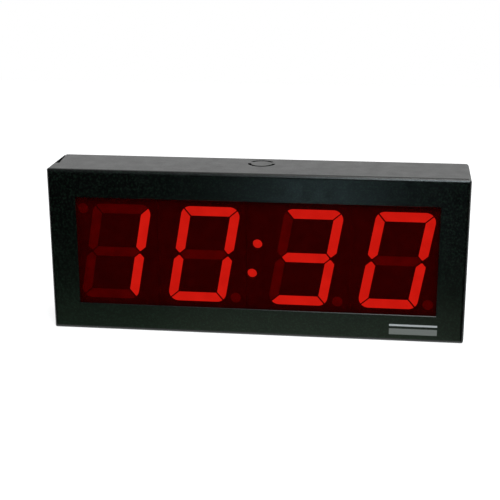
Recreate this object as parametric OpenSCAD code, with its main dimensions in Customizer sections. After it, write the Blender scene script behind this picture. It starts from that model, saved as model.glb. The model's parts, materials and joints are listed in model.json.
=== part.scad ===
// Wall clock and timer with four large seven-segment LED digits behind a red lens, in a folded steel case.
// Millimetres. X runs along the case, the front faces -Y, Z is up, and the origin is the middle of the base.

/* [Digits] */
// Numerals shown, from left to right
shown = [1, 0, 3, 0]; // [0:1:9]
// Height of a digit
digit_h = 101.6; // [92:0.1:108]
// Width of a digit across its strokes
digit_w = 60.3; // [52:0.1:64]
// Width of a segment's stroke
stroke = 9.7; // [8:0.1:12]
// Gap between neighbouring segments
stroke_gap = 1.4; // [0.8:0.1:2]
// Radius of a digit's outer corners
corner_r = 10; // [4:0.5:11]
// Lean of the digits, in degrees
lean = 10; // [0:1:12]
// Diameter of the decimal point
point_d = 10.5; // [8:0.5:11]
// Clear space between a digit and its decimal point
point_gap = 5.4; // [3:0.1:6]
// How far the row of digits sits below the middle of the window
row_drop = 1; // [0:0.1:1.5]
// How far the row of digits sits to the left of the middle of the window
row_shift = 0.8; // [0:0.1:1.5]

/* [Digit modules] */
// Width of a digit module
module_w = 88; // [86:1:96]
// Height of a digit module
module_h = 120; // [114:1:132]
// Depth of a digit module
module_d = 15; // [14:0.5:17]
// Space between the two modules of a pair
module_gap = 4; // [1:0.5:8]
// Space between the pairs, where the colon stands
colon_gap = 17; // [17:0.5:26]
// Pins in each of a module's two rows
pin_count = 5; // [4:1:6]
// Pitch of the pins
pin_pitch = 10.16; // [7.62:2.54:12.7]
// Distance of a pin row from the module's edge
pin_inset = 6; // [4:0.5:10]

/* [Colon] */
// Diameter of a colon lamp
lamp_d = 10; // [8:0.5:10]
// Distance between the two lamps
lamp_span = 31.5; // [24:0.5:40]
// How far the colon sits below the middle of the digits
lamp_drop = 3.2; // [0:0.1:6]

/* [Case] */
// Thickness of the case's steel sheet
sheet = 1.2; // [1:0.1:1.6]
// Outer radius of the bends round the front
front_r = 4; // [2:0.1:4.5]
// Outer radius of the bends round the back
back_r = 2; // [1.8:0.1:3.5]
// Radius of the case's welded corners, seen from the front
ground_r = 4; // [2:0.5:5]
// Width of the front frame at each side of the window
frame_w = 29; // [27:0.5:45]
// Width of the front frame above and below the window
frame_h = 29; // [27:0.5:45]
// Size of the slope that eases the window's edge
window_ease = 0.6; // [0.2:0.1:0.8]
// How far the frame hides each end of the row of modules
hidden_w = 3.5; // [2:0.5:6]
// How far the frame hides the modules above and below
hidden_h = 3; // [1.5:0.5:3.5]
// Width of the flange folded in round the back
flange = 12; // [11:0.5:16]
// Length of the corner seam that is left open
seam_l = 43; // [20:1:50]
// Width of the open seam at its front end
seam_w = 5.5; // [2:0.1:6.5]
// Width of the open seam at the back
seam_back_w = 1.5; // [0.4:0.1:2]
// Diameter of the conduit knockout
knockout_d = 28.6; // [22.2:0.1:29]
// Width of the slot round the knockout
knockout_slot = 3.4; // [1:0.1:3.6]
// Width of the two tabs that hold the knockout
knockout_tab = 8; // [2:0.5:9]
// How far the knockout sits to the right of the middle
knockout_x = 1.5; // [-20:0.5:20]
// Distance of the knockout's centre from the back
knockout_back = 24.5; // [20:0.5:26]

/* [Lens] */
// Thickness of the red lens
lens_t = 3; // [2:0.5:4]
// How far the lens laps behind the frame
lens_lap = 8.5; // [8.5:0.5:10]
// Space between the lens and the digits
lens_gap = 0.5; // [0.3:0.1:2]
// Width of a lens clip
clip_w = 12; // [8:1:16]
// Thickness of a lens clip
clip_t = 1.2; // [0.8:0.1:1.5]
// Places of the lens clips from the middle
clip_x = [60, 150]; // [40:1:170]

/* [Boards] */
// Thickness of the circuit boards
board_t = 1.6; // [1.2:0.2:2]
// Space between the display board and the control board
board_space = 38.9; // [34:0.1:56]
// Width of the control board
control_w = 120; // [116:1:124]
// Height of the control board
control_h = 84; // [82:1:88]
// Distance of the control board from the right end of the case
control_end = 46; // [40:1:54]
// How far the control board sits below the middle of the case
control_drop = 8; // [4:1:12]
// Length of the spacers behind the control board
control_spacer = 10; // [9.5:0.5:12]
// Width of the ribbon cable
ribbon_w = 26; // [16:1:27]
// Thickness of the ribbon cable
ribbon_t = 0.9; // [0.6:0.1:1.2]
// Height of the ribbon's straight run above its plugs
ribbon_rise = 8; // [4:1:14]

/* [Back] */
// Thickness of the back plate
plate_t = 1.2; // [1:0.1:2]
// How far the plate's edge lies inside the case's outline
plate_inset = 0.6; // [0.2:0.1:2]
// Place of the back plate's outer screws from the middle
plate_screw_x = 130; // [120:1:160]
// Distance between the two keyholes
keyhole_span = 203.2; // [180:0.1:260]
// Distance of the keyholes' round part below the top of the case
keyhole_drop = 34; // [30:1:38]
// Diameter of a keyhole's round part
keyhole_d = 10; // [8:0.5:11]
// Width of a keyhole's slot
keyhole_slot = 4.8; // [4:0.1:5.5]
// Length of a keyhole's slot above the round part
keyhole_rise = 10; // [8:0.5:12]
// Bore of the cable bushing
cable_bore = 13; // [8:0.5:18]
// Wall of the cable bushing
bushing_wall = 2.5; // [1.5:0.1:4]
// Diameter of a set button's cap
button_d = 7; // [6:0.1:8]
// Travel of a set button
button_travel = 1.2; // [0.5:0.1:1.5]
// Travel of the mode switch
slider_travel = 2.5; // [1.5:0.1:3]

/* [Hidden] */
$fn = 48;
eps = 0.05;

// Clearances
resin_clear = 0.1;
thread_clear = 0.05;
hole_clear = 0.1;
slide_clear = 0.15;
cap_clear = 0.5;
mask_clear = 0.15;
lens_edge_clear = 0.5;
clip_module_clear = 1;
plug_clear = 0.2;
window_clear = 1.5;
flush_clear = 0.3;

// Sizes of bought-in pieces
screw_r = 1.5;
screw_head_r = 2.8;
screw_head_h = 1.8;
recess_w = 0.8;
recess_d = 0.7;
nut_af = 5.5;
nut_h = 2.4;
spacer_af = 6;
pin_r = 0.4;
pin_past_board = 2;
leg_r = 0.3;
leg_span = 2.54;
lamp_rim = 0.6;
lamp_rim_h = 1.2;
lamp_lift = 1;
lamp_behind_lens = 0.6;
mask_face_t = 2;
mask_foot = 6;
mask_rail = 3;
module_back_t = 1.5;
resin_air = 2.5;

// The row of digits sets the window, and the window sets the case
pitch = module_w + module_gap;
middle_pitch = module_w + colon_gap;
row_w = 4 * module_w + 2 * module_gap + colon_gap;
window_w = row_w - 2 * hidden_w;
window_h = module_h - 2 * hidden_h;
case_w = window_w + 2 * frame_w;
case_h = window_h + 2 * frame_h;
mid_z = case_h / 2;
row_x = -row_shift;
row_z = mid_z - row_drop;
slope = tan(lean);
digit_x = [for (i = [0:3]) row_x + (i < 2 ? -1 : 1) * (middle_pitch / 2 + (i == 0 || i == 3 ? pitch : 0))];

// Depths behind the front face: each layer sets the next, and the last sets the depth of the case
module_at = sheet + lens_t + lens_gap;
board_at = module_at + module_d;
board_back = board_at + board_t;
control_at = board_back + board_space;
control_back = control_at + board_t;
body_d = control_back + control_spacer;
case_d = body_d + plate_t;
well_d = module_d - module_back_t;
resin_d = well_d - resin_air;

// Lens, clips and display board
lens_w = window_w + 2 * lens_lap;
lens_h = window_h + 2 * lens_lap;
clip_lip = lens_lap - hidden_h - row_drop - clip_module_clear;
clip_foot = 8;
clip_stud_l = 7;
clip_stud_space = 5.2;
clip_stud_out = lens_edge_clear + clip_t + clip_stud_space;
clip_xs = [for (s = [-1, 1], x = clip_x) s * x];
spacer_out = 4.3;
spacer_x = lens_w / 2 + spacer_out;
spacer_z = lens_h / 2 + spacer_out;
spacer_edge = 3.6;
display_screw_l = 8;
display_w = 2 * (spacer_x + spacer_edge);
display_h = 2 * (spacer_z + spacer_edge);
spacer_points = [for (x = [-spacer_x, 0, spacer_x], z = [mid_z - spacer_z, mid_z + spacer_z]) [x, z]];

// Case and back plate
seam_lip = 0.6;
seam_depth = 6;
plate_screw_in = 7;
plate_screw_l = 8;
plate_points = concat(
    [for (x = [-plate_screw_x, plate_screw_x], z = [plate_screw_in, case_h - plate_screw_in]) [x, z]],
    [for (s = [-1, 1]) [s * (case_w / 2 - plate_screw_in), mid_z]]);
clinch_r = 3.2;
clinch_h = 2.2;
keyhole_z = case_h - keyhole_drop;
bushing_r = cable_bore / 2 + bushing_wall;
bushing_flange = 2.5;
bushing_flange_t = 1.5;
knockout_y = case_d / 2 - knockout_back;

// Control board, and the places of the pieces on it from its middle
control_x = case_w / 2 - control_end - control_w / 2;
control_z = mid_z - control_drop;
control_inset = 5;
control_screw_l = 8;
control_points = [for (sx = [-1, 1], sz = [-1, 1])
    [control_x + sx * (control_w / 2 - control_inset), control_z + sz * (control_h / 2 - control_inset)]];
function on_board(p) = [control_x + p[0], control_z + p[1]];
board_left = -control_w / 2;
board_right = control_w / 2;
board_low = -control_h / 2;
board_high = control_h / 2;

// Chips
chip_lift = 0.3;
chip_leg_w = 0.7;
chip_leg_out = 0.9;
driver_size = [18, 7.5, 2.3];
driver_legs = 8;
processor_size = [36, 12, 3.7];
processor_legs = 14;
processor_place = [14, -4];

// Crystal, capacitors and rectifier
crystal_r = 2.3;
crystal_l = 6.4;
crystal_h = 3.5;
crystal_place = [-14, -4];
main_can_r = 8;
main_can_h = 22;
main_can_inset = [18, 14];
main_can_place = [board_left + main_can_inset[0], board_low + main_can_inset[1]];
small_can_r = 5;
small_can_h = 12;
small_can_insets = [36, 50];
small_can_up = 12;
small_can_places = [for (x = small_can_insets) [board_left + x, board_low + small_can_up]];
rectifier_r = 4.5;
rectifier_h = 7;
rectifier_step = 16;
rectifier_place = main_can_place + [0, rectifier_step];

// Heat sink and regulator
sink_size = [26, 12, 22];
sink_base_t = 3;
sink_fins = 6;
sink_fin_t = 1.6;
sink_inset = [24, 12];
sink_place = [board_right - sink_inset[0], board_low + sink_inset[1]];
sink_face = sink_place[1] + sink_size[1] / 2;
tab_size = [10, 1.3, 15.5];
tab_hole_r = 1.8;
tab_hole_in = 3;
regulator_size = [10, 4.5, 9];
regulator_leg = [0.8, 0.6, 4];

// Terminal block
terminal_pitch = 5.08;
terminal_poles = 4;
terminal_size = [9, terminal_pitch * terminal_poles, 11];
terminal_place = [board_left + terminal_size[0] / 2 + 1, 2];
terminal_screw_r = 1.7;
terminal_screw_l = 4;
terminal_screw_in = 1;
wire_entry = [6, 3, 3];
wire_entry_up = 4.5;
terminal_points = [for (i = [0:terminal_poles - 1])
    on_board([terminal_place[0], terminal_place[1] + (i - (terminal_poles - 1) / 2) * terminal_pitch])];

// Backup battery
battery_r = 10;
battery_t = 3.2;
battery_place = on_board([14, board_high - 16]);
holder_wall = 1.8;
holder_floor = 1.2;
holder_notch = 12;

// Set switches and mode switch, on the back of the board
switch_x = control_x + board_right - 16;
minutes_z = control_z - 17;
hours_z = control_z + 3;
button_z = [minutes_z, hours_z];
switch_side = 12;
switch_h = 6;
stem_r = 2;
stem_l = 5;
mode_step = 19;
mode_z = hours_z + mode_step;
mode_body = [16, 7, 5.5];
slider_size = [5.6, 3, 3.5];
knob_w = 2.6;
mode_window = [knob_w + slider_travel + 2 * window_clear, slider_size[1] + 2 * window_clear];

// Ribbon cable, in the plane of its loop
ribbon_inset = 28;
ribbon_x = control_x + board_left + ribbon_inset;
plug_side = 1.5;
plug_size = [ribbon_w + 2 * plug_side, 7, 13];
header_wall = 1.2;
header_floor = 1.5;
header_h = 9;
header_out = plug_clear + header_wall;
header_size = [plug_size[0] + 2 * header_out, plug_size[1] + 2 * header_out, header_h];
plug_exit = 3;
plug_step = 14;
plug_drop = 18;
control_plug_z = control_z + board_high - plug_drop;
display_plug_z = control_plug_z - plug_step;
ribbon_front = board_back + header_floor + plug_size[2] - plug_exit;
ribbon_back = control_at - header_floor - plug_size[2] + plug_exit;
ribbon_top = control_plug_z + plug_size[1] / 2 + ribbon_rise;
ribbon_r = (ribbon_back - ribbon_front) / 2;

// Colon
lamp_tip = module_at + lamp_behind_lens;
lamp_base = board_at - lamp_lift;
lamp_points = [for (s = [-1, 1])
    [row_x + s * lamp_span / 2 * slope, row_z - lamp_drop + s * lamp_span / 2]];
mask_at = module_at + 1;
strip_at = module_at + 0.2;
mask_h = module_h + 2 * (mask_clear + mask_rail);

// Segments that each numeral lights, in the order a, b, c, d, e, f, g
NUMERALS = ["abcdef", "bc", "abdeg", "abcdg", "bcfg", "acdfg", "acdefg", "abc", "abcdefg", "abcdfg"];
SEGMENTS = ["a", "b", "c", "d", "e", "f", "g"];
function is_lit(numeral, segment) = len(search(segment, NUMERALS[numeral])) > 0;

// Outlines of the segments before they lean, grown by a margin all round
stroke_x = (digit_w - stroke) / 2;
stroke_z = (digit_h - stroke) / 2;
tip_half = 0.6;
arc_steps = 6;
function half(grow) = stroke / 2 + grow;
function mitre(grow) = (stroke_gap / 2 - grow) * sqrt(2);
function flip_x(points) = [for (i = [len(points) - 1:-1:0]) [-points[i][0], points[i][1]]];
function flip_z(points) = [for (i = [len(points) - 1:-1:0]) [points[i][0], -points[i][1]]];

// The upper right corner of an outline that will lean by a tilt: its arc comes out round once it leans,
// and a mitre at the given offset cuts the arc at mitre_angle
function stretch(tilt) = sqrt(1 + tilt * tilt);
function corner_arc(from, to, grow, tilt) = let (r = corner_r + grow)
    [for (i = [0:arc_steps]) let (t = from + (to - from) * i / arc_steps)
        [stroke_x + half(grow) + r * (cos(t) - tilt * sin(t) - stretch(tilt)),
            stroke_z + half(grow) + r * (sin(t) - 1)]];
function mitre_angle(offset, grow, tilt) =
    acos((stretch(tilt) - 1 + offset / (corner_r + grow)) / stretch(1 + tilt)) - atan(1 + tilt);

// A corner on the left or below is the mirror image of one that leans the other way
function top_half(grow, tilt) = concat(
    [[stroke_x - half(grow) - mitre(grow), stroke_z - half(grow)]],
    corner_arc(mitre_angle(-mitre(grow), grow, tilt), 90, grow, tilt));
function top_stroke(grow, tilt) = concat(top_half(grow, tilt), flip_x(top_half(grow, -tilt)));
function side_stroke(grow, tilt) = let (h = half(grow), m = mitre(grow), tip = tip_half + grow / 2) concat(
    [[stroke_x - tip, m + tip], [stroke_x + tip, m + tip], [stroke_x + h, m + h]],
    corner_arc(-atan(tilt), mitre_angle(m, grow, tilt), grow, tilt),
    [[stroke_x - h, stroke_z - h - m], [stroke_x - h, m + h]]);
function middle_stroke(grow) = let (h = half(grow), m = mitre(grow), tip = tip_half + grow / 2,
    x = stroke_x - m,
    right = [[x - h, -h], [x - tip, -tip], [x - tip, tip], [x - h, h]])
    concat(right, flip_x(right));
function outline(segment, grow) =
    segment == "a" ? top_stroke(grow, slope) :
    segment == "b" ? side_stroke(grow, slope) :
    segment == "c" ? flip_z(side_stroke(grow, -slope)) :
    segment == "d" ? flip_z(top_stroke(grow, -slope)) :
    segment == "e" ? flip_z(flip_x(side_stroke(grow, slope))) :
    segment == "f" ? flip_x(side_stroke(grow, -slope)) : middle_stroke(grow);
function leaning(points) = [for (p = points) [p[0] + p[1] * slope, p[1]]];
point_z = -(digit_h - point_d) / 2;
point_x = digit_w / 2 + point_z * slope + point_gap + point_d / 2;
// The first module is mounted upside down, so its decimal point is at the upper left
function point_side(i) = i == 0 ? -1 : 1;

// A flat shape in X and Z, made t thick from depth d towards the back
module slab(d, t) {
    translate([0, d - case_d / 2 + t, 0])
        rotate([90, 0, 0])
            linear_extrude(t)
                children();
}

// A rod along Y from depth d towards the back
module rod(p, d, l, r, sides = 48) {
    translate([p[0], d - case_d / 2, p[1]])
        rotate([-90, 0, 0])
            cylinder(h = l, r = r, $fn = sides);
}

// A block centred on a point of X and Z, from depth d towards the back
module block(p, d, size) {
    translate([p[0] - size[0] / 2, d - case_d / 2, p[1] - size[1] / 2])
        cube([size[0], size[2], size[1]]);
}

// A rectangle with true round corners
module rounded_rect(size, r) {
    square([size[0] - 2 * r, size[1]], center = true);
    square([size[0], size[1] - 2 * r], center = true);
    for (sx = [-1, 1], sy = [-1, 1])
        translate([sx * (size[0] / 2 - r), sy * (size[1] / 2 - r)])
            circle(r);
}

// A rectangle with round corners, which are tighter at the side or the corner that it faces towards
module mixed_rect(size, r, tight_r, towards) {
    part = [for (i = [0, 1]) towards[i] == 0 ? size[i] : size[i] / 2];
    rounded_rect(size, r);
    translate([for (i = [0, 1]) towards[i] * size[i] / 4])
        rounded_rect(part, tight_r);
}

// The case's outside or inside, shrunk by a wall: bent round the front and the back, with its welded corners
// ground but for the upper left one, which has the open seam
module bent_box(wall) {
    size = [case_w - 2 * wall, body_d - 2 * wall, case_h - 2 * wall];
    translate([0, (body_d - case_d) / 2, mid_z])
        intersection() {
            linear_extrude(size[2], center = true)
                mixed_rect([size[0], size[1]], front_r - wall, back_r - wall, [0, 1]);
            rotate([90, 0, 90])
                linear_extrude(size[0], center = true)
                    mixed_rect([size[1], size[2]], front_r - wall, back_r - wall, [1, 0]);
            rotate([90, 0, 0])
                linear_extrude(size[1], center = true)
                    mixed_rect([size[0], size[2]], ground_r - wall, back_r - wall, [-1, 1]);
        }
}

// A hexagonal rod, w across its flats, with a hole through it
module hex_tube(p, d, l, w, hole_r) {
    difference() {
        rod(p, d, l, w / sqrt(3), 6);
        rod(p, d - eps, l + 2 * eps, hole_r);
    }
}

// A cross recess that opens at depth d, cut towards dir
module cross_recess(p, d, dir, length) {
    at = dir > 0 ? d - eps : d - recess_d;
    block(p, at, [length, recess_w, recess_d + eps]);
    block(p, at, [recess_w, length, recess_d + eps]);
}

// A pan-head screw: its head's seat is at depth d, and its shank runs towards the back for l
module pan_screw(p, d, l) {
    difference() {
        union() {
            rod(p, d - screw_head_h, screw_head_h, screw_head_r);
            rod(p, d - eps, l + eps, screw_r);
        }
        cross_recess(p, d - screw_head_h, 1, screw_head_r);
    }
}

// Conical seat of a flat-head screw in the back plate, grown by a clearance
module flat_head(p, clear) {
    translate([p[0], body_d - case_d / 2, p[1]])
        rotate([-90, 0, 0])
            cylinder(h = plate_t, r1 = screw_r + clear, r2 = screw_r + clear + plate_t);
}

// A slot through the top along an arc of the knockout's edge
module arc_slot(from, sweep) {
    rotate([0, 0, from])
        rotate_extrude(angle = sweep)
            translate([knockout_d / 2 - knockout_slot, 0])
                square([knockout_slot, sheet + 2 * eps]);
}

// The two slots round the knockout, which leave a tab at each side behind its middle
module knockout_slots() {
    tab_angle = 2 * asin(knockout_tab / knockout_d);
    translate([knockout_x, knockout_y, case_h - sheet - eps]) {
        arc_slot(180, 180);
        arc_slot(tab_angle, 180 - 2 * tab_angle);
    }
}

// The left end's top corner seam, open behind the weld: a wedge in the edge that narrows towards the back
module corner_seam() {
    left = -case_w / 2 + seam_lip;
    back = body_d - case_d / 2;
    translate([0, 0, case_h - seam_depth])
        linear_extrude(seam_depth + eps)
            polygon([
                [left, back - seam_l], [left + seam_w, back - seam_l],
                [left + seam_back_w, back + eps], [left, back + eps]]);
}

// A profile of the window's opening, w wide, which flares towards the front
module flared(w) {
    narrow = w / 2;
    wide = narrow + window_ease + eps;
    polygon([
        [-wide, -eps], [wide, -eps], [narrow, window_ease], [narrow, sheet + eps],
        [-narrow, sheet + eps], [-narrow, window_ease]]);
}

module window_opening() {
    translate([0, -case_d / 2, mid_z])
        intersection() {
            linear_extrude(case_h, center = true)
                flared(window_w);
            rotate([0, 90, 0])
                linear_extrude(case_w, center = true)
                    flared(window_h);
        }
}

module front_case() color([0.045, 0.05, 0.05]) {
    difference() {
        bent_box(0);
        bent_box(sheet);
        window_opening();
        block([0, mid_z], body_d - sheet - eps, [case_w - 2 * flange, case_h - 2 * flange, sheet + 2 * eps]);
        knockout_slots();
        corner_seam();
        for (p = plate_points)
            rod(p, body_d - sheet - eps, sheet + 2 * eps, screw_r + hole_clear);
    }
}

// A round hole with a slot that rises from it, to hang on a screw
module keyhole(x) {
    through = plate_t + 2 * eps;
    rod([x, keyhole_z], body_d - eps, through, keyhole_d / 2);
    rod([x, keyhole_z + keyhole_rise], body_d - eps, through, keyhole_slot / 2);
    block([x, keyhole_z + keyhole_rise / 2], body_d - eps, [keyhole_slot, keyhole_rise, through]);
}

module back_plate() color([0.07, 0.075, 0.075]) {
    through = plate_t + 2 * eps;
    difference() {
        slab(body_d, plate_t)
            translate([0, mid_z])
                rounded_rect([case_w - 2 * plate_inset, case_h - 2 * plate_inset], ground_r);
        for (p = plate_points)
            flat_head(p, hole_clear);
        for (s = [-1, 1])
            keyhole(s * keyhole_span / 2);
        rod([0, mid_z], body_d - eps, through, bushing_r + hole_clear);
        for (z = button_z)
            rod([switch_x, z], body_d - eps, through, button_d / 2 + cap_clear);
        block([switch_x, mode_z], body_d - eps, [mode_window[0], mode_window[1], through]);
    }
}

module back_screws() color([0.2, 0.2, 0.21]) {
    for (p = plate_points)
        difference() {
            union() {
                flat_head(p, 0);
                rod(p, case_d - plate_screw_l, plate_screw_l - plate_t + eps, screw_r);
            }
            cross_recess(p, case_d, -1, screw_head_r);
        }
}

module clinch_nuts() color("silver") {
    at = body_d - sheet - clinch_h;
    for (p = plate_points)
        difference() {
            rod(p, at, clinch_h, clinch_r);
            rod(p, at - eps, clinch_h + 2 * eps, screw_r + thread_clear);
        }
}

module cable_bushing() color([0.03, 0.03, 0.03]) {
    inner = body_d - bushing_flange_t;
    bushing_l = bushing_flange_t + plate_t;
    difference() {
        union() {
            rod([0, mid_z], inner, bushing_l, bushing_r);
            rod([0, mid_z], inner, bushing_flange_t, bushing_r + bushing_flange);
        }
        rod([0, mid_z], inner - eps, bushing_l + 2 * eps, cable_bore / 2);
    }
}

module lens() color([0.55, 0.02, 0.02, 0.6]) {
    block([0, mid_z], sheet, [lens_w, lens_h, lens_t]);
}

// Places something at each lens clip: the clips above the lens as drawn, and those below it turned over
module at_clips() {
    for (x = clip_xs, turn = [0, 180])
        translate([x, 0, mid_z])
            rotate([0, turn, 0])
                translate([0, 0, lens_h / 2])
                    children();
}

module lens_studs() color("silver") {
    at_clips() rod([0, clip_stud_out], sheet, clip_stud_l, screw_r);
}

module lens_clips() color([0.7, 0.7, 0.68]) {
    at_clips()
        difference() {
            slab_x(clip_w)
                polygon([
                    [sheet, lens_edge_clear], [sheet + lens_t, lens_edge_clear],
                    [sheet + lens_t, -clip_lip], [sheet + lens_t + clip_t, -clip_lip],
                    [sheet + lens_t + clip_t, lens_edge_clear + clip_t],
                    [sheet + clip_t, lens_edge_clear + clip_t],
                    [sheet + clip_t, clip_stud_out + clip_foot / 2],
                    [sheet, clip_stud_out + clip_foot / 2]]);
            rod([0, clip_stud_out], sheet - eps, clip_t + 2 * eps, screw_r + hole_clear);
        }
}

// A flat shape in depth and Z, made w wide along X
module slab_x(w) {
    translate([0, -case_d / 2, 0])
        rotate([90, 0, 90])
            linear_extrude(w, center = true)
                children();
}

module lens_nuts() color("silver") {
    at_clips() hex_tube([0, clip_stud_out], sheet + clip_t, nut_h, nut_af, screw_r + thread_clear);
}

function pin_points(x) = [for (side = [-1, 1], i = [0:pin_count - 1])
    [x + (i - (pin_count - 1) / 2) * pin_pitch, row_z + side * (module_h / 2 - pin_inset)]];
function leg_points(p) = [for (s = [-1, 1]) [p[0] + s * leg_span / 2, p[1]]];

module display_board() color([0.05, 0.25, 0.12]) {
    difference() {
        block([0, mid_z], board_at, [display_w, display_h, board_t]);
        for (p = spacer_points)
            rod(p, board_at - eps, board_t + 2 * eps, screw_r + hole_clear);
        for (x = digit_x, p = pin_points(x))
            rod(p, board_at - eps, board_t + 2 * eps, pin_r + hole_clear, 16);
        for (lamp = lamp_points, p = leg_points(lamp))
            rod(p, board_at - eps, board_t + 2 * eps, leg_r + hole_clear, 16);
    }
}

module display_spacers() color([0.75, 0.65, 0.35]) {
    for (p = spacer_points)
        hex_tube(p, sheet, board_at - sheet, spacer_af, screw_r + thread_clear);
}

// A pan-head screw that is driven from behind, with its head's seat at depth d
module pan_screw_from_behind(p, d, l) {
    difference() {
        union() {
            rod(p, d, screw_head_h, screw_head_r);
            rod(p, d - l, l + eps, screw_r);
        }
        cross_recess(p, d + screw_head_h, -1, screw_head_r);
    }
}

module display_screws() color("silver") {
    for (p = spacer_points)
        pan_screw_from_behind(p, board_back, display_screw_l);
}

// One segment of the digit at place i, from the module's face towards the back
module segment(i, name, grow, depth) {
    slab(module_at, depth)
        translate([digit_x[i], row_z])
            polygon(leaning(outline(name, grow)));
}

module decimal_point(i, grow, depth) {
    rod([digit_x[i] + point_side(i) * point_x, row_z + point_side(i) * point_z],
        module_at, depth, point_d / 2 + grow);
}

module digit_housing(i) color([0.03, 0.03, 0.03]) {
    difference() {
        block([digit_x[i], row_z], module_at, [module_w, module_h, module_d]);
        translate([0, -eps, 0]) {
            for (name = SEGMENTS)
                segment(i, name, resin_clear, well_d);
            decimal_point(i, resin_clear, well_d);
        }
    }
}

module digit_lit(i) color([0.95, 0.09, 0.04]) {
    for (name = SEGMENTS)
        if (is_lit(shown[i], name))
            segment(i, name, 0, resin_d);
}

module digit_unlit(i) color([0.3, 0.03, 0.03]) {
    for (name = SEGMENTS)
        if (!is_lit(shown[i], name))
            segment(i, name, 0, resin_d);
    decimal_point(i, 0, resin_d);
}

module digit_pins() color("silver") {
    for (x = digit_x, p = pin_points(x))
        rod(p, board_at, board_t + pin_past_board, pin_r, 16);
}

module colon_lamps() color([0.95, 0.09, 0.04]) {
    for (lamp = lamp_points) {
        rod(lamp, lamp_tip + lamp_d / 2, lamp_base - lamp_tip - lamp_d / 2, lamp_d / 2);
        translate([lamp[0], lamp_tip + lamp_d / 2 - case_d / 2, lamp[1]])
            sphere(lamp_d / 2);
        rod(lamp, lamp_base - lamp_rim_h, lamp_rim_h, lamp_d / 2 + lamp_rim);
        for (p = leg_points(lamp))
            rod(p, lamp_base - eps, board_back - lamp_base + pin_past_board, leg_r, 16);
    }
}

// The dark mask: a strip between the pairs, where the lamps stand, and one between the modules of each pair,
// joined by rails above and below the modules
module colon_mask() color([0.02, 0.02, 0.02]) {
    mask_w = colon_gap - 2 * mask_clear;
    strip_w = module_gap - 2 * mask_clear;
    strip_x = (middle_pitch + pitch) / 2;
    face_back = mask_at + mask_face_t;
    difference() {
        union() {
            block([row_x, row_z], mask_at, [mask_w, mask_h, mask_face_t]);
            for (s = [-1, 1]) {
                block([row_x + s * strip_x, row_z], strip_at, [strip_w, mask_h, face_back - strip_at]);
                block([row_x, row_z + s * (mask_h - mask_rail) / 2], mask_at,
                    [2 * strip_x + strip_w, mask_rail, mask_face_t]);
                block([row_x, row_z + s * (module_h - mask_foot) / 2], mask_at,
                    [mask_w, mask_foot, board_at - mask_at]);
            }
        }
        for (lamp = lamp_points)
            rod(lamp, mask_at - eps, mask_face_t + 2 * eps, lamp_d / 2 + slide_clear);
    }
}

// A chip on a board's face at depth d, which stands out towards dir, with a row of legs along each side
module chip(p, d, dir, size, legs) {
    leg_pitch = (size[0] - chip_leg_w) / legs;
    block(p, dir > 0 ? d + chip_lift : d - chip_lift - size[2], size);
    for (side = [-1, 1], i = [0:legs - 1])
        block([p[0] + (i - (legs - 1) / 2) * leg_pitch, p[1] + side * (size[1] + chip_leg_out) / 2],
            dir > 0 ? d : d - chip_lift - size[2] / 2,
            [chip_leg_w, chip_leg_out + 2 * eps, chip_lift + size[2] / 2]);
}

module driver_chips() color([0.06, 0.06, 0.065]) {
    for (x = digit_x)
        chip([x, row_z - module_h / 4], board_back, 1, driver_size, driver_legs);
}

// A plug's header: an open box with the pocket that the plug fits, on a board's face at depth d
module header(z, d, dir) {
    pocket_w = [for (i = [0, 1]) plug_size[i] + 2 * plug_clear];
    pocket = concat(pocket_w, header_h - header_floor + eps);
    difference() {
        block([ribbon_x, z], dir > 0 ? d : d - header_h, header_size);
        block([ribbon_x, z], dir > 0 ? d + header_floor : d - header_h - eps, pocket);
    }
}

module ribbon_headers() color([0.05, 0.05, 0.055]) {
    header(display_plug_z, board_back, 1);
    header(control_plug_z, control_at, -1);
}

module ribbon_plugs() color([0.1, 0.1, 0.11]) {
    block([ribbon_x, display_plug_z], board_back + header_floor, plug_size);
    block([ribbon_x, control_plug_z], control_at - header_floor - plug_size[2], plug_size);
}

// A straight run of the ribbon at depth d, from its plug up to the loop
module ribbon_run(plug_z, d) {
    start = plug_z + plug_size[1] / 2;
    block([ribbon_x, (start + ribbon_top) / 2], d - ribbon_t / 2, [ribbon_w, ribbon_top - start, ribbon_t]);
}

module ribbon_cable() color([0.55, 0.56, 0.58]) {
    ribbon_run(display_plug_z, ribbon_front);
    ribbon_run(control_plug_z, ribbon_back);
    translate([ribbon_x - ribbon_w / 2, (ribbon_front + ribbon_back) / 2 - case_d / 2, ribbon_top])
        rotate([90, 0, 90])
            rotate_extrude(angle = 180)
                translate([ribbon_r - ribbon_t / 2, 0])
                    square([ribbon_t, ribbon_w]);
}

module control_board() color([0.05, 0.25, 0.12]) {
    difference() {
        block([control_x, control_z], control_at, [control_w, control_h, board_t]);
        for (p = control_points)
            rod(p, control_at - eps, board_t + 2 * eps, screw_r + hole_clear);
    }
}

module control_spacers() color([0.75, 0.65, 0.35]) {
    for (p = control_points)
        hex_tube(p, control_back, control_spacer, spacer_af, screw_r + thread_clear);
}

module control_screws() color("silver") {
    for (p = control_points)
        pan_screw(p, control_at, control_screw_l);
}

module processor() color([0.06, 0.06, 0.065]) {
    chip(on_board(processor_place), control_at, -1, processor_size, processor_legs);
}

module crystal() color("silver") {
    p = on_board(crystal_place);
    for (s = [-1, 1])
        rod([p[0] + s * crystal_l / 2, p[1]], control_at - crystal_h, crystal_h, crystal_r);
    block(p, control_at - crystal_h, [crystal_l, 2 * crystal_r, crystal_h]);
}

// A capacitor can on the control board, drawn in where its sleeve meets the seal
module capacitor(place, r, h) {
    p = on_board(place);
    seal_h = 2;
    neck_h = 1;
    neck_in = 0.4;
    rod(p, control_at - h, h - seal_h, r);
    rod(p, control_at - seal_h - neck_h, neck_h + seal_h, r - neck_in);
    rod(p, control_at - seal_h + neck_h, seal_h - neck_h, r);
}

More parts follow.
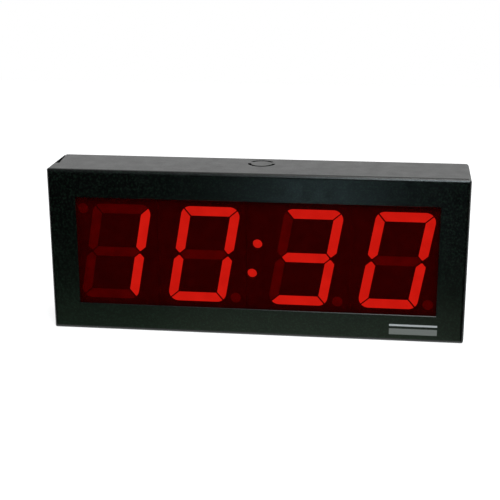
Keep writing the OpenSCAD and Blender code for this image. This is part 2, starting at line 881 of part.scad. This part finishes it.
module capacitors() color([0.08, 0.1, 0.2]) {
    capacitor(main_can_place, main_can_r, main_can_h);
    for (place = small_can_places)
        capacitor(place, small_can_r, small_can_h);
}

module rectifier() color([0.05, 0.05, 0.05]) {
    rod(on_board(rectifier_place), control_at - rectifier_h, rectifier_h, rectifier_r);
}

// The regulator's tab lies flat on the heat sink, and its three legs reach the board
module regulator() color([0.05, 0.05, 0.05]) {
    x = sink_place[0];
    tab_front = control_at - regulator_leg[2] - tab_size[2];
    leg_z = sink_face + regulator_size[1] / 2;
    difference() {
        block(on_board([x, sink_face + tab_size[1] / 2]), tab_front, tab_size);
        translate([control_x + x, tab_front + tab_hole_in - case_d / 2, control_z + sink_face - eps])
            cylinder(h = tab_size[1] + 2 * eps, r = tab_hole_r);
    }
    block(on_board([x, leg_z]), control_at - regulator_leg[2] - regulator_size[2], regulator_size);
    for (i = [-1:1])
        block(on_board([x + i * leg_span, leg_z]), control_at - regulator_leg[2] - eps,
            [regulator_leg[0], regulator_leg[1], regulator_leg[2] + eps]);
}

module heat_sink() color([0.12, 0.12, 0.125]) {
    fin_pitch = (sink_size[0] - sink_fin_t) / (sink_fins - 1);
    front = control_at - sink_size[2];
    block(on_board([sink_place[0], sink_face - sink_base_t / 2]), front,
        [sink_size[0], sink_base_t, sink_size[2]]);
    for (i = [0:sink_fins - 1])
        block(on_board([sink_place[0] + (i - (sink_fins - 1) / 2) * fin_pitch, sink_place[1]]),
            front, [sink_fin_t, sink_size[1], sink_size[2]]);
}

// Each pole has a screw well in its face and a wire entry in its outer side
module terminal_block() color([0.1, 0.35, 0.2]) {
    front = control_at - terminal_size[2];
    difference() {
        block(on_board(terminal_place), front, terminal_size);
        for (p = terminal_points) {
            rod(p, front - eps, terminal_screw_in + terminal_screw_l + eps, terminal_screw_r + thread_clear);
            block([p[0] - terminal_size[0] / 2, p[1]], control_at - wire_entry_up, wire_entry);
        }
    }
}

module terminal_screws() color("silver") {
    front = control_at - terminal_size[2] + terminal_screw_in;
    for (p = terminal_points)
        difference() {
            rod(p, front, terminal_screw_l, terminal_screw_r);
            block(p, front - eps, [3 * terminal_screw_r, recess_w, recess_d + eps]);
        }
}

// A cup with a notch in its wall to lift the cell out
module battery_holder() color([0.04, 0.04, 0.045]) {
    holder_h = holder_floor + battery_t;
    holder_r = battery_r + slide_clear + holder_wall;
    difference() {
        rod(battery_place, control_at - holder_h, holder_h, holder_r);
        rod(battery_place, control_at - holder_h - eps, battery_t + eps, battery_r + slide_clear);
        block([battery_place[0] + holder_r, battery_place[1]], control_at - holder_h - eps,
            [holder_r, holder_notch, battery_t + eps]);
    }
}

module backup_battery() color([0.75, 0.75, 0.73]) {
    rod(battery_place, control_at - holder_floor - battery_t, battery_t, battery_r);
}

module button_switches() color([0.04, 0.04, 0.045]) {
    for (z = button_z)
        difference() {
            block([switch_x, z], control_back, [switch_side, switch_side, switch_h]);
            rod([switch_x, z], control_back + switch_h - stem_l, stem_l + eps, stem_r + slide_clear);
        }
}

// A set button: a cap in the back plate's hole, on a stem that slides in its switch
module set_button(z) {
    cap_top = case_d - flush_clear;
    cap_bottom = control_back + switch_h + button_travel + flush_clear;
    stem_end = control_back + switch_h - stem_l + button_travel + flush_clear;
    rod([switch_x, z], cap_bottom, cap_top - cap_bottom, button_d / 2);
    rod([switch_x, z], stem_end, cap_bottom - stem_end + eps, stem_r);
}

module hours_button() color([0.5, 0.5, 0.5]) set_button(hours_z);

module minutes_button() color([0.5, 0.5, 0.5]) set_button(minutes_z);

module mode_switch() color([0.04, 0.04, 0.045]) {
    well_w = slider_size[0] + slider_travel + 2 * slide_clear;
    well_h = slider_size[1] + 2 * slide_clear;
    well_in = slider_size[2] + flush_clear;
    difference() {
        block([switch_x, mode_z], control_back, mode_body);
        block([switch_x, mode_z], control_back + mode_body[2] - well_in, [well_w, well_h, well_in + eps]);
    }
}

// The switch's slider rests at the left end of its travel
module mode_slider() color([0.6, 0.6, 0.58]) {
    x = switch_x - slider_travel / 2;
    block([x, mode_z], control_back + mode_body[2] - slider_size[2], slider_size);
    block([x, mode_z], control_back + mode_body[2] - eps,
        [knob_w, slider_size[1], case_d - flush_clear - control_back - mode_body[2] + eps]);
}

front_case();
back_plate();
back_screws();
clinch_nuts();
cable_bushing();
lens();
lens_studs();
lens_clips();
lens_nuts();
display_board();
display_spacers();
display_screws();
digit_housing(0);  // digit_1_housing
digit_lit(0);  // digit_1_lit
digit_unlit(0);  // digit_1_unlit
digit_housing(1);  // digit_2_housing
digit_lit(1);  // digit_2_lit
digit_unlit(1);  // digit_2_unlit
digit_housing(2);  // digit_3_housing
digit_lit(2);  // digit_3_lit
digit_unlit(2);  // digit_3_unlit
digit_housing(3);  // digit_4_housing
digit_lit(3);  // digit_4_lit
digit_unlit(3);  // digit_4_unlit
digit_pins();
colon_lamps();
colon_mask();
driver_chips();
ribbon_cable();
ribbon_plugs();
ribbon_headers();
control_board();
control_spacers();
control_screws();
processor();
crystal();
capacitors();
rectifier();
regulator();
heat_sink();
terminal_block();
terminal_screws();
battery_holder();
backup_battery();
button_switches();
hours_button();
minutes_button();
mode_switch();
mode_slider();
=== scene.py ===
import json
import math

import bpy
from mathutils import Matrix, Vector


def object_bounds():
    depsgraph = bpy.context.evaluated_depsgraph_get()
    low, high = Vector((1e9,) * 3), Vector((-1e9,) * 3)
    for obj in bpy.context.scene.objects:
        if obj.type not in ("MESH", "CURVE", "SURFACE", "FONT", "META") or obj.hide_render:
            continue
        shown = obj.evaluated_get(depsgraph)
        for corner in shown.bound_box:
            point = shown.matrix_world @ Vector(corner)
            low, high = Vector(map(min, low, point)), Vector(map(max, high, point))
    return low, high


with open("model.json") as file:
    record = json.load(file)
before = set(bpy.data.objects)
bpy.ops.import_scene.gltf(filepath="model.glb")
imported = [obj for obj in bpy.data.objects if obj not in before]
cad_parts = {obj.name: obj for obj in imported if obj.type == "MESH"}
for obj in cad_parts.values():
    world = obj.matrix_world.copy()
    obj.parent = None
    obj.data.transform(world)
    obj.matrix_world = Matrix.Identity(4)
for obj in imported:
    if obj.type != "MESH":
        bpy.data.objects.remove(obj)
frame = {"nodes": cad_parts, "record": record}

cad_low, cad_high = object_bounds()

# All lengths are in metres.
MM = 0.001
LEFT, FRONT, BOTTOM = cad_low
RIGHT, BACK, TOP = cad_high
WHITE, BLACK = (1.0, 1.0, 1.0), (0.0, 0.0, 0.0)

# The parts of a noise texture's range that a colour is spread over: its usual spread, or its peaks alone.
MIDDLE, PEAKS = (0.3, 0.7), (0.5, 0.64)
# Distance between the wires of the flat cable, and length of a wave texture's wave at scale 1
WIRE_PITCH = 1.27 * MM
WAVE_LENGTH = math.pi / 10
# The open corner seam: made dull, and painted black as painted shade for the dark gap
SEAM_SHADE_LOW = (LEFT + 0.55 * MM, FRONT + 27.5 * MM, TOP - 7 * MM)
SEAM_SHADE_HIGH = (LEFT + 6.5 * MM, BACK - 0.5 * MM, TOP - 0.4 * MM)
# A plain bar over a plain band, printed at the lower right of the front, within a thin slab round its face
MARK_LEFT, MARK_RIGHT = RIGHT - 76 * MM, RIGHT - 27 * MM
MARK_NEAR, MARK_FAR = FRONT - MM, FRONT + 0.3 * MM
BAR_BOTTOM, BAR_TOP, BAR_COLOUR = BOTTOM + 16.8 * MM, BOTTOM + 19.2 * MM, (0.55, 0.55, 0.56)
BAND_BOTTOM, BAND_TOP, BAND_COLOUR = BOTTOM + 7.8 * MM, BOTTOM + 14.6 * MM, (0.2, 0.2, 0.19)

# The floor reaches this far to each side, in two pieces that meet just before the front, a little sunk.
FLOOR_REACH = 1.6
FLOOR_EDGE = FRONT - 3.5 * MM
FLOOR_TOP = BOTTOM - 0.2 * MM
FLOOR_GREY, FLOOR_GLOW = (0.5, 0.5, 0.5), 0.8

# Strength of the world's even light, and of the white that shiny surfaces mirror from behind the object
AMBIENT, MIRRORED = 0.42, 0.86
# How far backwards and upwards a direction points where that white begins, and where it is full
BACKWARDS, UPWARDS = (0.1, 0.5), (-0.04, 0.04)

# Each lamp's name, place, aim, width and height, power in watts, and colour
LAMPS = [
    ("overhead", (0.3, -0.3, 1.8), (0.2, 0, 0.1), (0.45, 1.2), 15, WHITE),
    ("window", (0.27, -0.75, 0.92), (0.15, -0.03, 0.17), (0.4, 0.45), 8, (0.82, 0.95, 1.0)),
    # Mirrored as a soft patch at the top of the front
    ("low_front", (0.03, -0.55, 0.025), (0.06, 0, 0.15), (0.1, 0.05), 0.1, (0.6, 0.92, 1.0)),
    # Mirrored as a faint glow at the bottom of the front, weaker on the left
    ("table_card", (0.055, -0.25, -0.1), (0.055, 0, 0.02), (0.37, 0.09), 0.1, (0.72, 1.0, 0.7)),
    ("table_card_left", (-0.245, -0.25, -0.1), (-0.245, 0, 0.02), (0.23, 0.09), 0.036, (0.6, 1.0, 0.64)),
]

# The camera as solved from the photo's straight edges: lens and sensor in millimetres, turn in degrees
CAMERA_LENS, CAMERA_SENSOR = 86.192, 36
CAMERA_SHIFT = (-0.00543, 0.0585)
CAMERA_AT = (0.14642, -1.19213, 0.44487)
CAMERA_TURN = (71.798, 0.1946, 7.259)
CAMERA_CLIP = (0.05, 40)


class Nodes:
    """A node tree, with short ways to add nodes and link them."""

    def __init__(self, tree):
        self.tree = tree

    def node(self, kind, **settings):
        made = self.tree.nodes.new(kind)
        for name, value in settings.items():
            setattr(made, name, value)
        return made

    def link(self, output, socket):
        self.tree.links.new(output, socket)

    def maths(self, operation, *values):
        """The result of an operation on outputs of other nodes, or on numbers."""
        node = self.node("ShaderNodeMath", operation=operation)
        for value, socket in zip(values, node.inputs):
            if isinstance(value, bpy.types.NodeSocket):
                self.link(value, socket)
            else:
                socket.default_value = value
        return node.outputs[0]

    def spread(self, value, part, low=0.0, high=1.0):
        """Part of a value's range, from its start to its end, spread between two numbers."""
        node = self.node("ShaderNodeMapRange")
        for name, number in zip(("From Min", "From Max", "To Min", "To Max"), (*part, low, high)):
            node.inputs[name].default_value = number
        self.link(value, node.inputs["Value"])
        return node.outputs["Result"]

    def mix_shaders(self, share, first, second):
        """Two shaders, of which a share of the second is taken."""
        node = self.node("ShaderNodeMixShader")
        if isinstance(share, bpy.types.NodeSocket):
            self.link(share, node.inputs["Fac"])
        else:
            node.inputs["Fac"].default_value = share
        self.link(first, node.inputs[1])
        self.link(second, node.inputs[2])
        return node.outputs["Shader"]

    def seen_directly(self):
        """One for rays from the camera, and for those that a shiny or clear surface sends on."""
        rays = self.node("ShaderNodeLightPath").outputs
        sent_on = self.maths("MAXIMUM", rays["Is Glossy Ray"], rays["Is Transmission Ray"])
        return self.maths("MAXIMUM", rays["Is Camera Ray"], sent_on)


class Finish(Nodes):
    """A material under way: a Principled shader, and textures in the object's own coordinates."""

    def __init__(self, name, roughness=0.5, metallic=0.0, specular=0.5):
        self.material = bpy.data.materials.new(name)
        self.material.use_nodes = True
        super().__init__(self.material.node_tree)
        self.shader = self.tree.nodes["Principled BSDF"]
        self.output = self.tree.nodes["Material Output"]
        self.shader.inputs["Roughness"].default_value = roughness
        self.shader.inputs["Metallic"].default_value = metallic
        self.shader.inputs["Specular IOR Level"].default_value = specular
        self.places = self.node("ShaderNodeTexCoord").outputs["Object"]

    def noise(self, size, detail=2.0, stretch=(1, 1, 1)):
        """Lumps of about that size, drawn out along the axes by stretch."""
        mapping = self.node("ShaderNodeMapping")
        mapping.inputs["Scale"].default_value = [1 / s for s in stretch]
        self.link(self.places, mapping.inputs["Vector"])
        texture = self.node("ShaderNodeTexNoise")
        texture.inputs["Scale"].default_value = 1 / size
        texture.inputs["Detail"].default_value = detail
        self.link(mapping.outputs["Vector"], texture.inputs["Vector"])
        return texture.outputs["Fac"]

    def blend(self, first, second, share):
        """A texture of which one share is the second of two."""
        node = self.node("ShaderNodeMix", data_type="FLOAT")
        node.inputs["Factor"].default_value = share
        self.link(first, node.inputs["A"])
        self.link(second, node.inputs["B"])
        return node.outputs["Result"]

    def between(self, value, low, high, part=MIDDLE):
        """Part of a texture's range, spread between two colours."""
        node = self.node("ShaderNodeMix", data_type="RGBA")
        node.inputs["A"].default_value = (*low, 1)
        node.inputs["B"].default_value = (*high, 1)
        self.link(self.spread(value, part), node.inputs["Factor"])
        return node.outputs["Result"]

    def colour(self, value, low, high, part=MIDDLE):
        self.link(self.between(value, low, high, part), self.shader.inputs["Base Color"])

    def roughness(self, value, low, high):
        self.link(self.spread(value, MIDDLE, low, high), self.shader.inputs["Roughness"])

    def bump(self, value, depth):
        """Raises the surface by up to depth where the texture is high."""
        node = self.node("ShaderNodeBump")
        node.inputs["Distance"].default_value = depth
        self.link(value, node.inputs["Height"])
        self.link(node.outputs["Normal"], self.shader.inputs["Normal"])

    def within(self, low, high, edge):
        """One inside a box, nothing outside it, with a soft edge."""
        axes = self.node("ShaderNodeSeparateXYZ")
        self.link(self.places, axes.inputs["Vector"])
        inside = 1.0
        for place, start, end in zip(axes.outputs, low, high):
            away = self.maths("ABSOLUTE", self.maths("SUBTRACT", place, (start + end) / 2))
            reach = (end - start) / 2
            inside = self.maths("MULTIPLY", inside, self.spread(away, (reach, reach - edge)))
        return inside

    def roughen(self, mask):
        """Makes the surface quite dull where the mask is one."""
        socket = self.shader.inputs["Roughness"]
        self.link(self.maths("MAXIMUM", socket.links[0].from_socket, mask), socket)

    def print_and_shade_over(self, mask, colour):
        """Lays a colour over the base colour where the mask is one: printed marks, and painted shade in the
        seam.
        """
        socket = self.shader.inputs["Base Color"]
        node = self.node("ShaderNodeMix", data_type="RGBA")
        self.link(mask, node.inputs["Factor"])
        self.link(socket.links[0].from_socket, node.inputs["A"])
        node.inputs["B"].default_value = (*colour, 1)
        self.link(node.outputs["Result"], socket)


def front_mark(bottom, top, colour):
    """A printed rectangle: the lowest and highest corner of its slab, and its colour."""
    return (MARK_LEFT, MARK_NEAR, bottom), (MARK_RIGHT, MARK_FAR, top), colour


def powder_coat(name, dark, light, marks=()):
    """Black powder coat: fine grain, slow mottle and pale specks, dull and with painted shade in the seam,
    with printed marks.
    """
    finish = Finish(name, specular=0.4)
    grain = finish.noise(1.2 * MM, detail=2)
    mottle = finish.noise(14 * MM, detail=3)
    specks = finish.noise(1.9 * MM, detail=2)
    finish.colour(specks, dark, light, PEAKS)
    finish.roughness(finish.blend(mottle, grain, share=0.4), low=0.28, high=0.38)
    finish.bump(grain, depth=0.09 * MM)
    # Painted shade: black is laid over the seam, where the gap lies in shade, and the seam is also made
    # dull
    seam = finish.within(SEAM_SHADE_LOW, SEAM_SHADE_HIGH, edge=0.05 * MM)
    finish.print_and_shade_over(seam, BLACK)
    finish.roughen(seam)
    for low, high, colour in marks:
        finish.print_and_shade_over(finish.within(low, high, edge=0.4 * MM), colour)
    return finish.material


def plated(name, colour, roughness, grain_stretch=(1, 1, 1)):
    """Plated or plain metal with fine marks from its making."""
    finish = Finish(name, metallic=1.0)
    marks = finish.noise(0.5 * MM, detail=4, stretch=grain_stretch)
    cloud = finish.noise(5 * MM, detail=3)
    finish.colour(cloud, [0.85 * c for c in colour], colour)
    finish.roughness(marks, low=roughness - 0.08, high=roughness + 0.1)
    finish.bump(marks, depth=0.008 * MM)
    return finish.material


def moulded(name, dark, light, roughness):
    """Moulded plastic or rubber with a fine eroded grain and slight clouding."""
    finish = Finish(name)
    pits = finish.noise(0.35 * MM, detail=2)
    cloud = finish.noise(9 * MM, detail=4)
    finish.colour(cloud, dark, light)
    finish.roughness(finish.blend(pits, cloud, share=0.3), low=roughness - 0.08, high=roughness + 0.12)
    finish.bump(pits, depth=0.01 * MM)
    return finish.material


def lit_resin(name):
    """Milky resin with light behind it, a little brighter over its sources."""
    finish = Finish(name, roughness=0.45)
    spots = finish.noise(14 * MM, detail=1)
    finish.colour(spots, (0.35, 0.02, 0.015), (0.42, 0.03, 0.02))
    light = finish.between(spots, (1.0, 0.19, 0.1), (1.1, 0.23, 0.12))
    finish.link(light, finish.shader.inputs["Emission Color"])
    finish.shader.inputs["Emission Strength"].default_value = 0.92
    return finish.material


def clear_red(name):
    """Clear red acrylic: it tints what is behind it, with a soft low sheen."""
    finish = Finish(name, roughness=0.2, specular=0.05)
    haze = finish.noise(12 * MM, detail=5)
    finish.colour(haze, (0.02, 0.0, 0.0), (0.03, 0.0, 0.0))
    finish.roughness(haze, low=0.16, high=0.26)
    clear = finish.node("ShaderNodeBsdfTransparent")
    clear.inputs["Color"].default_value = (0.74, 0.22, 0.22, 1)
    both = finish.mix_shaders(share=0.04, first=clear.outputs["BSDF"], second=finish.shader.outputs["BSDF"])
    finish.link(both, finish.output.inputs["Surface"])
    return finish.material


def ribbed_vinyl(name):
    """Flat cable: grey vinyl with a ridge over each wire."""
    finish = Finish(name)
    wire = finish.node("ShaderNodeTexWave", wave_profile="SIN")
    wire.inputs["Scale"].default_value = WAVE_LENGTH / WIRE_PITCH
    finish.link(finish.places, wire.inputs["Vector"])
    finish.colour(wire.outputs["Fac"], (0.3, 0.31, 0.33), (0.48, 0.49, 0.51))
    finish.bump(wire.outputs["Fac"], depth=0.2 * MM)
    return finish.material


PLAIN_MARKS = [front_mark(BAR_BOTTOM, BAR_TOP, BAR_COLOUR), front_mark(BAND_BOTTOM, BAND_TOP, BAND_COLOUR)]
MATERIALS = {
    "case_paint": powder_coat("case_paint", BLACK, (0.0032, 0.0085, 0.0048), PLAIN_MARKS),
    "plate_paint": powder_coat("plate_paint", (0.003, 0.0035, 0.0032), (0.0095, 0.0105, 0.01)),
    "zinc": plated("zinc", (0.72, 0.72, 0.7), 0.32),
    "black_steel": plated("black_steel", (0.1, 0.1, 0.1), 0.4),
    "brass": plated("brass", (0.78, 0.62, 0.32), 0.3, grain_stretch=(1, 6, 1)),
    "rubber": moulded("rubber", (0.012, 0.012, 0.012), (0.022, 0.022, 0.022), 0.7),
    "red_lens": clear_red("red_lens"),
    "module_black": moulded("module_black", (0.066, 0.06, 0.06), (0.092, 0.085, 0.085), 0.7),
    "lit_resin": lit_resin("lit_resin"),
    "unlit_resin": moulded("unlit_resin", (0.22, 0.09, 0.08), (0.3, 0.12, 0.11), 0.5),
    "board_green": moulded("board_green", (0.012, 0.1, 0.04), (0.02, 0.15, 0.06), 0.4),
    "chip_black": moulded("chip_black", (0.02, 0.02, 0.022), (0.035, 0.035, 0.037), 0.6),
    "can_blue": moulded("can_blue", (0.015, 0.025, 0.1), (0.025, 0.04, 0.14), 0.35),
    "sink_black": plated("sink_black", (0.05, 0.05, 0.055), 0.45, grain_stretch=(1, 8, 1)),
    "terminal_green": moulded("terminal_green", (0.02, 0.2, 0.07), (0.03, 0.27, 0.1), 0.5),
    "ribbon_grey": ribbed_vinyl("ribbon_grey"),
    "cap_grey": moulded("cap_grey", (0.3, 0.3, 0.3), (0.38, 0.38, 0.38), 0.55),
}


def dress_nodes():
    """Gives each CAD node the material of its slot."""
    for part in frame["record"]["subparts"]:
        mesh = frame["nodes"][part["node"]].data
        mesh.materials.clear()
        mesh.materials.append(MATERIALS[part["material_slot"]])


def floor_white():
    """White from above and clear from below. The glow is only seen, so the light still adds the shadow."""
    finish = Finish("floor_white", roughness=1.0, specular=0.0)
    finish.shader.inputs["Base Color"].default_value = (*FLOOR_GREY, 1)
    finish.shader.inputs["Emission Color"].default_value = (*WHITE, 1)
    glow = finish.maths("MULTIPLY", finish.seen_directly(), FLOOR_GLOW)
    finish.link(glow, finish.shader.inputs["Emission Strength"])
    below = finish.node("ShaderNodeNewGeometry").outputs["Backfacing"]
    clear = finish.node("ShaderNodeBsdfTransparent").outputs["BSDF"]
    both = finish.mix_shaders(below, finish.shader.outputs["BSDF"], clear)
    finish.link(both, finish.output.inputs["Surface"])
    return finish.material


def make_floor():
    """The floor in two pieces: the one in front isn't mirrored in the dark front, as in the photo."""
    material = floor_white()
    left, right = -FLOOR_REACH, FLOOR_REACH
    pieces = {"floor_behind": (FLOOR_EDGE, FLOOR_REACH), "floor_in_front": (-FLOOR_REACH, FLOOR_EDGE)}
    for name, (near, far) in pieces.items():
        corners = [(x, y, FLOOR_TOP) for x, y in ((left, near), (right, near), (right, far), (left, far))]
        mesh = bpy.data.meshes.new(name)
        mesh.from_pydata(corners, [], [(0, 1, 2, 3)])
        mesh.materials.append(material)
        floor = bpy.data.objects.new(name, mesh)
        floor.visible_glossy = floor.visible_shadow = name == "floor_behind"
        bpy.context.scene.collection.objects.link(floor)


def make_world():
    """Even soft light. The camera sees white, and shiny surfaces mirror it from behind the object only."""
    world = bpy.data.worlds.new("studio")
    bpy.context.scene.world = world
    world.use_nodes = True
    sky = Nodes(world.node_tree)
    light = sky.tree.nodes["Background"]
    light.inputs["Color"].default_value = (*WHITE, 1)
    light.inputs["Strength"].default_value = AMBIENT
    seen = sky.node("ShaderNodeBackground")
    seen.inputs["Color"].default_value = (*WHITE, 1)
    axes = sky.node("ShaderNodeSeparateXYZ")
    sky.link(sky.node("ShaderNodeTexCoord").outputs["Generated"], axes.inputs["Vector"])
    backwards = sky.spread(axes.outputs["Y"], BACKWARDS, high=MIRRORED)
    upwards = sky.spread(axes.outputs["Z"], UPWARDS)
    mirrored = sky.maths("MULTIPLY", backwards, upwards)
    on_camera = sky.node("ShaderNodeLightPath").outputs["Is Camera Ray"]
    sky.link(sky.maths("MAXIMUM", mirrored, on_camera), seen.inputs["Strength"])
    both = sky.mix_shaders(sky.seen_directly(), light.outputs["Background"], seen.outputs["Background"])
    sky.link(both, sky.tree.nodes["World Output"].inputs["Surface"])


def make_lamp(name, place, aim, size, power, colour):
    """A soft box, which the camera doesn't see."""
    data = bpy.data.lights.new(name, "AREA")
    data.color = colour
    data.shape = "RECTANGLE"
    data.size, data.size_y = size
    data.energy = power
    lamp = bpy.data.objects.new(name, data)
    lamp.location = place
    lamp.rotation_euler = (Vector(aim) - Vector(place)).to_track_quat("-Z", "Y").to_euler()
    lamp.visible_camera = False
    bpy.context.scene.collection.objects.link(lamp)


def make_camera():
    data = bpy.data.cameras.new("camera")
    data.sensor_width = CAMERA_SENSOR
    data.lens = CAMERA_LENS
    data.shift_x, data.shift_y = CAMERA_SHIFT
    data.clip_start, data.clip_end = CAMERA_CLIP
    camera = bpy.data.objects.new("camera", data)
    camera.location = CAMERA_AT
    camera.rotation_euler = [math.radians(angle) for angle in CAMERA_TURN]
    bpy.context.scene.collection.objects.link(camera)
    bpy.context.scene.camera = camera


dress_nodes()
make_floor()
make_world()
for lamp in LAMPS:
    make_lamp(*lamp)
make_camera()
bpy.context.scene.view_settings.view_transform = "Standard"
